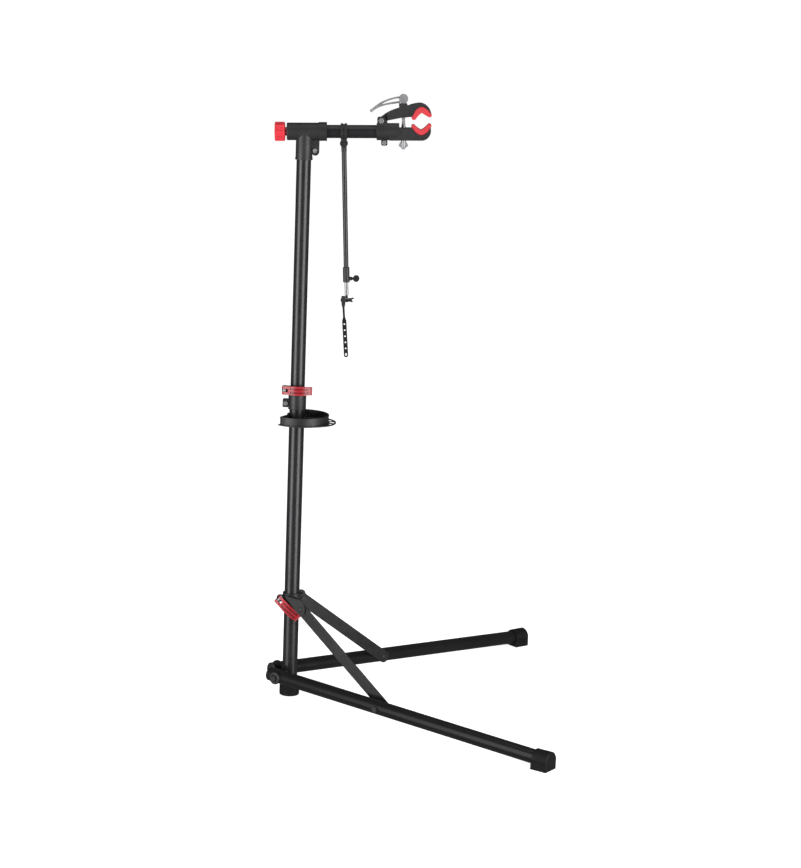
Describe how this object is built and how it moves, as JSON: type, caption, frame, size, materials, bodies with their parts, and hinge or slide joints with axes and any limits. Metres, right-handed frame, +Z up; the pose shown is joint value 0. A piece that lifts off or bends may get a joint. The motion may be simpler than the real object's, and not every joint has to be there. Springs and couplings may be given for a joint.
{
  "type": "bike repair stand",
  "caption": "Folding bike repair stand: telescopic post on two braced legs and a post foot, tool tray, and a turning arm with quick-release tube clamp and handlebar rod.",
  "frame": {"origin": "centre of the base foot's underside, on the ground, on the post's axis", "axes": "+Z up along the post; +X the way the arm and, between them, the two legs point; leg A is on the -Y side"},
  "size_m": [0.7159, 1.0768, 1.5233],
  "materials": {
    "black_paint": "satin black powder coat",
    "black_plastic": "matte moulded plastic with a fine grain",
    "black_rubber": "matte rubber",
    "red_knob": "bright red soft-touch plastic",
    "red_pad": "bright red rubber",
    "red_lever": "crimson plastic, ribbed",
    "zinc_steel": "bright zinc-plated steel",
    "black_steel": "black zinc-plated steel",
    "chrome": "polished chrome plate",
    "cast_grey": "cast metal, lightly polished"
  },
  "bodies": {
    "base": {"lower_post": "black_paint", "base_foot": "black_plastic", "leg_bracket": "black_paint", "leg_pivot_bolts": "black_steel", "leg_pivot_washers": "black_plastic", "leg_pivot_spacers": "black_plastic", "height_clamp": "black_plastic", "clamp_fixing_bolt": "zinc_steel", "clamp_fixing_nut": "zinc_steel", "height_clamp_bolt": "zinc_steel", "height_barrel_nut": "zinc_steel"},
    "tray": {"tool_tray": "black_plastic"},
    "height_lever": {"height_lever": "red_lever"},
    "mast_guide": {"guide_bush": "black_plastic"},
    "mast": {"upper_post": "black_paint", "tee_fitting": "black_plastic", "tee_pinch_bolt": "zinc_steel"},
    "arm_knob": {"arm_knob": "red_knob", "knob_screw": "zinc_steel"},
    "arm": {"arm_tube": "black_paint", "arm_end_plug": "black_plastic", "clamp_body": "black_plastic", "lower_pad": "red_pad", "head_bolt": "zinc_steel", "jaw_pivot_bolt": "zinc_steel", "jaw_pivot_nut": "zinc_steel"},
    "upper_jaw": {"upper_jaw": "black_plastic", "upper_pad": "red_pad"},
    "clamp_rod": {"clamp_rod": "zinc_steel", "cam_pin": "zinc_steel"},
    "cam_lever": {"cam_lever": "cast_grey"},
    "wing_nut": {"wing_nut": "cast_grey"},
    "rod_clip": {"rod_clip": "black_plastic", "knuckle_bolt": "black_steel"},
    "handlebar_rod": {"rod_socket": "black_plastic", "rod_tube": "black_paint", "rod_sleeve": "black_plastic"},
    "rod_thumb_screw": {"rod_thumb_screw": "black_plastic"},
    "inner_rod": {"inner_rod": "chrome", "holder_bolt": "black_steel"},
    "strap_holder": {"strap_holder": "black_plastic", "rubber_strap": "black_rubber"},
    "holder_wing_nut": {"holder_wing_nut": "black_plastic"},
    "slider": {"slider_collar": "black_plastic", "slider_clamp_bolt": "zinc_steel", "slider_barrel_nut": "zinc_steel", "brace_top_rivets": "black_steel"},
    "slider_lever": {"slider_lever": "red_lever"},
    "leg_a": {"leg_tube_a": "black_paint", "leg_end_plug_a": "black_plastic", "foot_cap_a": "black_rubber", "brace_bolt_a": "black_steel"},
    "leg_b": {"leg_tube_b": "black_paint", "leg_end_plug_b": "black_plastic", "foot_cap_b": "black_rubber", "brace_bolt_b": "black_steel"},
    "brace_a": {"brace_a": "black_paint", "brace_pin_a": "black_steel"},
    "brace_b": {"brace_b": "black_paint", "brace_pin_b": "black_steel"}
  },
  "joints": [
    {"name": "mast_slide", "type": "slide", "parent": "base", "child": "mast_guide", "axis": [0, 0, 1], "range_m": [-0.45, 0.12]},
    {"name": "mast_swivel", "type": "hinge", "parent": "mast_guide", "child": "mast", "pos_m": [0, 0, 0.606], "axis": [0, 0, 1], "continuous": true},
    {"name": "height_lever_open", "type": "hinge", "parent": "base", "child": "height_lever", "pos_m": [-0.0315, -0.016, 0.789], "axis": [0, 0, -1], "range_deg": [0, 150]},
    {"name": "tray_swivel", "type": "hinge", "parent": "base", "child": "tray", "pos_m": [0, 0, 0.715], "axis": [0, 0, 1], "continuous": true},
    {"name": "arm_rotate", "type": "hinge", "parent": "mast", "child": "arm", "pos_m": [0, 0, 1.4251], "axis": [0.9995, 0, 0.0323], "continuous": true},
    {"name": "arm_knob_turn", "type": "hinge", "parent": "mast", "child": "arm_knob", "pos_m": [-0.05997, 0, 1.42316], "axis": [0.9995, 0, 0.0323], "continuous": true},
    {"name": "jaw_open", "type": "hinge", "parent": "arm", "child": "upper_jaw", "pos_m": [0.18533, 0, 1.4581], "axis": [0, -1, 0], "range_deg": [0, 15]},
    {"name": "clamp_rod_lift", "type": "slide", "parent": "arm", "child": "clamp_rod", "axis": [-0.0323, 0, 0.9995], "range_m": [0, 0.01572]},
    {"name": "cam_lever_open", "type": "hinge", "parent": "clamp_rod", "child": "cam_lever", "pos_m": [0.23731, 0, 1.51211], "axis": [0, 1, 0], "range_deg": [0, 150]},
    {"name": "wing_nut_turn", "type": "hinge", "parent": "arm", "child": "wing_nut", "pos_m": [0.24078, 0, 1.40486], "axis": [-0.0323, 0, 0.9995], "continuous": true},
    {"name": "clip_swivel", "type": "hinge", "parent": "arm", "child": "rod_clip", "pos_m": [0.09525, 0, 1.42818], "axis": [0.9995, 0, 0.0323], "range_deg": [-120, 120]},
    {"name": "rod_fold", "type": "hinge", "parent": "rod_clip", "child": "handlebar_rod", "pos_m": [0.09617, 0, 1.39979], "axis": [0, -1, 0], "range_deg": [0, 75]},
    {"name": "rod_thumb_screw_turn", "type": "hinge", "parent": "handlebar_rod", "child": "rod_thumb_screw", "pos_m": [0.12232, 0, 1.06967], "axis": [0.9988, 0, 0.0489], "continuous": true},
    {"name": "rod_extend", "type": "slide", "parent": "handlebar_rod", "child": "inner_rod", "axis": [0.0489, 0, -0.9988], "range_m": [-0.031, 0.105]},
    {"name": "holder_tilt", "type": "hinge", "parent": "inner_rod", "child": "strap_holder", "pos_m": [0.10693, 0, 1.01606], "axis": [0.9988, 0, 0.0489], "range_deg": [-80, 80]},
    {"name": "holder_wing_nut_turn", "type": "hinge", "parent": "inner_rod", "child": "holder_wing_nut", "pos_m": [0.12291, 0, 1.01684], "axis": [0.9988, 0, 0.0489], "continuous": true},
    {"name": "collar_slide", "type": "slide", "parent": "base", "child": "slider", "axis": [0, 0, 1], "range_m": [0, 0.4]},
    {"name": "slider_lever_open", "type": "hinge", "parent": "slider", "child": "slider_lever", "pos_m": [-0.0315, -0.016, 0.2515], "axis": [-0.682, 0, -0.7314], "range_deg": [0, 150]},
    {"name": "leg_a_fold", "type": "hinge", "parent": "base", "child": "leg_a", "pos_m": [-0.0245, -0.03648, 0.05602], "axis": [-0.5948, -0.8039, 0], "range_deg": [0, 61.76]},
    {"name": "leg_b_fold", "type": "hinge", "parent": "base", "child": "leg_b", "pos_m": [-0.0245, 0.03648, 0.05602], "axis": [0.5948, -0.8039, 0], "range_deg": [0, 61.76]},
    {"name": "brace_a_turn", "type": "hinge", "parent": "slider", "child": "brace_a", "pos_m": [0.02642, -0.05003, 0.2373], "axis": [0.5948, 0.8039, 0], "range_deg": [0, 34.06]},
    {"name": "brace_b_turn", "type": "hinge", "parent": "slider", "child": "brace_b", "pos_m": [0.02642, 0.05003, 0.2373], "axis": [-0.5948, 0.8039, 0], "range_deg": [0, 34.06]}
  ],
  "couplings": [
    {"joint": "leg_a_fold", "follows": "collar_slide", "rad_per_m": 2.6946},
    {"joint": "leg_b_fold", "follows": "collar_slide", "rad_per_m": 2.6946},
    {"joint": "brace_a_turn", "follows": "collar_slide", "rad_per_m": 1.486},
    {"joint": "brace_b_turn", "follows": "collar_slide", "rad_per_m": 1.486},
    {"joint": "clamp_rod_lift", "follows": "jaw_open", "m_per_rad": 0.06}
  ]
}
